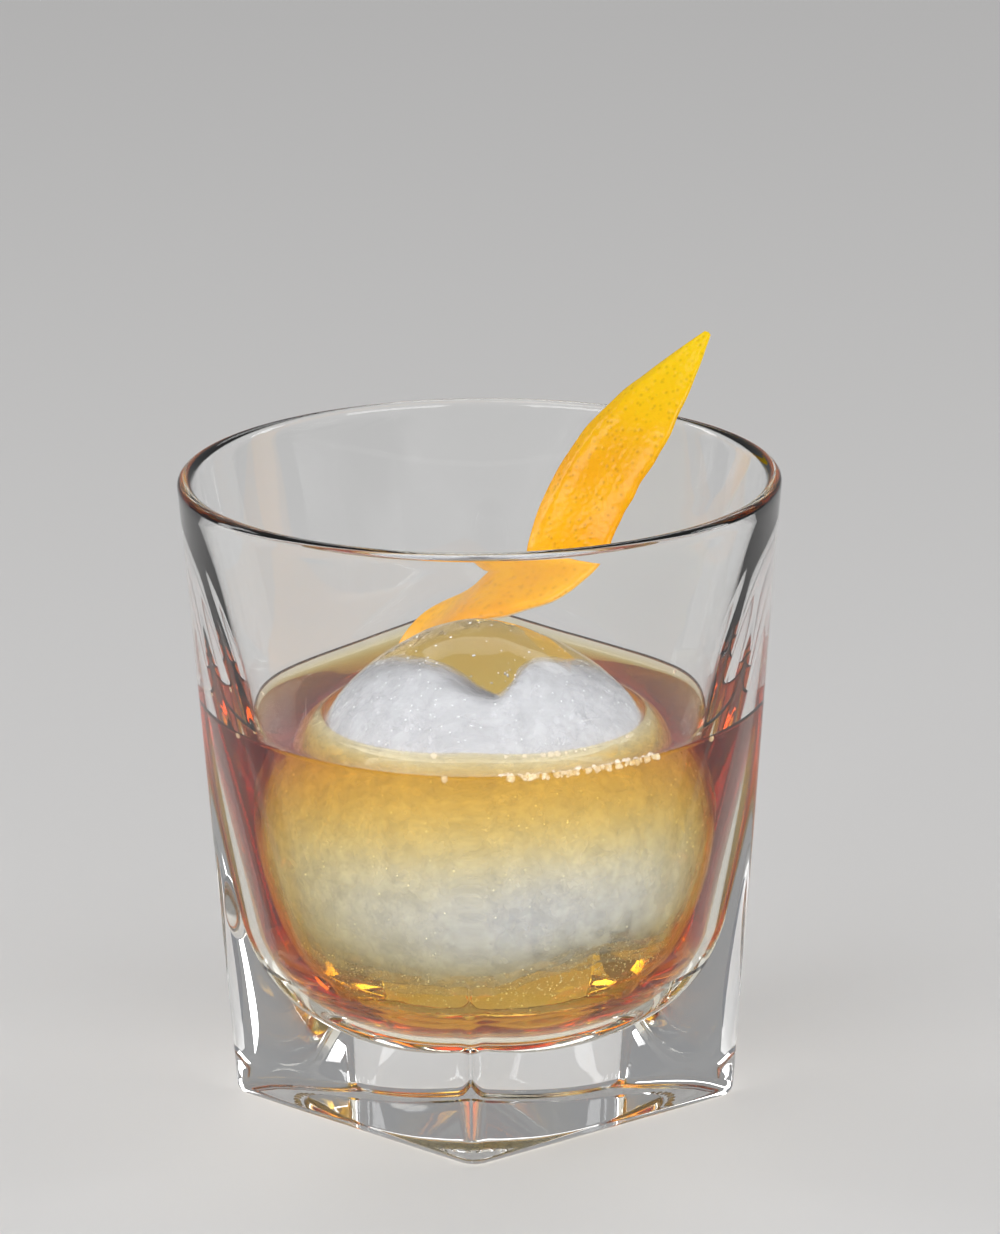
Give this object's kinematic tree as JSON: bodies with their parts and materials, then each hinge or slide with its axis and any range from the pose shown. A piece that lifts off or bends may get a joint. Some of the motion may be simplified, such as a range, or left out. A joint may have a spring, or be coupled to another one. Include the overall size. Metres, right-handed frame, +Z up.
{
  "type": "old fashioned cocktail",
  "caption": "Old fashioned cocktail: amber drink and one large ball of ice in a square-footed, round-rimmed tumbler, with a twist of orange peel leaning on the rim.",
  "frame": {"origin": "centre of the square foot, on the table", "axes": "+Z up through the middle of the glass; one corner of the square foot points to -Y and one to +X; the orange peel leans on the rim at +X +Y"},
  "size_m": [0.092, 0.092, 0.1102],
  "materials": {
    "clear_glass": "clear pressed soda-lime glass, fire polished",
    "amber_drink": "clear amber whiskey drink",
    "ice": "clear ice with a cloudy white heart, wet",
    "orange_zest": "fresh orange zest, waxy and pored, pale pith behind"
  },
  "bodies": {
    "root": {"glass": "clear_glass", "drink": "amber_drink", "ice_ball": "ice", "orange_peel": "orange_zest"}
  },
  "joints": []
}
